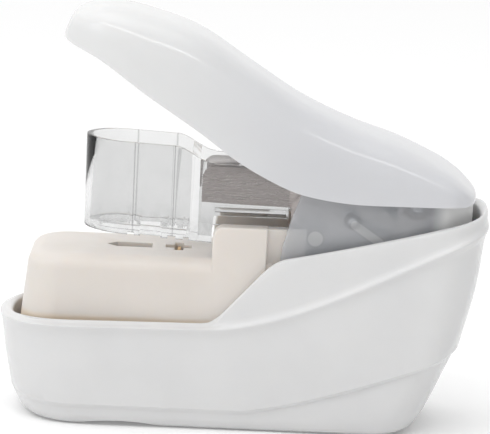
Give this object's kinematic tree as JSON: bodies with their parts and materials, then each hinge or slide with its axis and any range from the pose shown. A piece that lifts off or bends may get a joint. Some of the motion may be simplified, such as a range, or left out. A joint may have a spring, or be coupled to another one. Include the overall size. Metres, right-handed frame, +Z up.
{
  "type": "staple-free stapler",
  "caption": "Hand-held staple-free stapler: boat-shaped base, sinking paper table with fixed blades, clear clamping guard on a steel arm and an arched press handle.",
  "frame": {"origin": "middle of the base's footprint, on the surface it stands on", "axes": "+X from the paper end to the hinge end, +Y to the left side seen from the hinge end, +Z up; symmetric about the XZ plane"},
  "size_m": [0.104, 0.0368, 0.0886],
  "materials": {
    "white_shell": "satin moulded white ABS",
    "milky_cover": "slightly translucent milky plastic, soft gloss",
    "milky_frame": "translucent milky plastic",
    "cream_table": "cream acetal, satin",
    "clear_guard": "clear moulded polycarbonate",
    "pressed_steel": "pressed steel sheet with a soft sheen",
    "pin_steel": "ground steel pin",
    "spring_steel": "drawn spring wire",
    "blade_steel": "hardened blade steel",
    "coated_blade": "blade steel with a gold-coloured hard coating",
    "zinc_screw": "zinc-plated screw",
    "grey_plastic": "grey moulded plastic"
  },
  "bodies": {
    "base": {"base_shell": "white_shell", "bottom_lid": "white_shell", "lid_screw_1": "zinc_screw", "lid_screw_2": "zinc_screw", "lid_screw_3": "zinc_screw", "lid_screw_4": "zinc_screw", "hinge_bracket": "pressed_steel", "bracket_screw_1": "zinc_screw", "bracket_screw_2": "zinc_screw", "arm_axle": "pin_steel", "handle_axle": "pin_steel", "axle_clip_left": "spring_steel", "axle_clip_right": "spring_steel", "punch_blade": "blade_steel", "slit_blade": "coated_blade", "punch_pin": "pin_steel", "blade_holder": "grey_plastic", "holder_screw_1": "zinc_screw", "holder_screw_2": "zinc_screw", "lever_pin": "pin_steel", "table_spring_left": "spring_steel", "table_spring_right": "spring_steel"},
    "handle": {"handle_cover": "milky_cover", "handle_frame": "milky_frame", "handle_screw_1": "zinc_screw", "handle_screw_2": "zinc_screw", "drive_pin": "pin_steel", "return_spring": "spring_steel"},
    "arm": {"steel_arm": "pressed_steel", "clear_guard": "clear_guard"},
    "table": {"paper_table": "cream_table"},
    "lever": {"tucking_lever": "blade_steel"}
  },
  "joints": [
    {"name": "handle_press", "type": "hinge", "parent": "base", "child": "handle", "pos_m": [0.036, 0, 0.04975], "axis": [0, -1, 0], "range_deg": [0, 28], "stiffness_Nm_per_rad": 0.3, "springref_deg": -17.19},
    {"name": "arm_hinge", "type": "hinge", "parent": "base", "child": "arm", "pos_m": [0.04, 0, 0.033], "axis": [0, -1, 0], "range_deg": [0, 10]},
    {"name": "table_hinge", "type": "hinge", "parent": "base", "child": "table", "pos_m": [0.04, 0, 0.033], "axis": [0, -1, 0], "range_deg": [0, 7], "deforming": ["table_spring_left", "table_spring_right"]},
    {"name": "lever_hinge", "type": "hinge", "parent": "base", "child": "lever", "pos_m": [-0.017, 0, 0.0215], "axis": [0, 1, 0], "range_deg": [0, 20]}
  ],
  "couplings": [
    {"joint": "arm_hinge", "follows": "handle_press", "ratio": 0.35714},
    {"joint": "table_hinge", "follows": "handle_press", "ratio": 0.25},
    {"joint": "lever_hinge", "follows": "handle_press", "ratio": 0.71428}
  ]
}
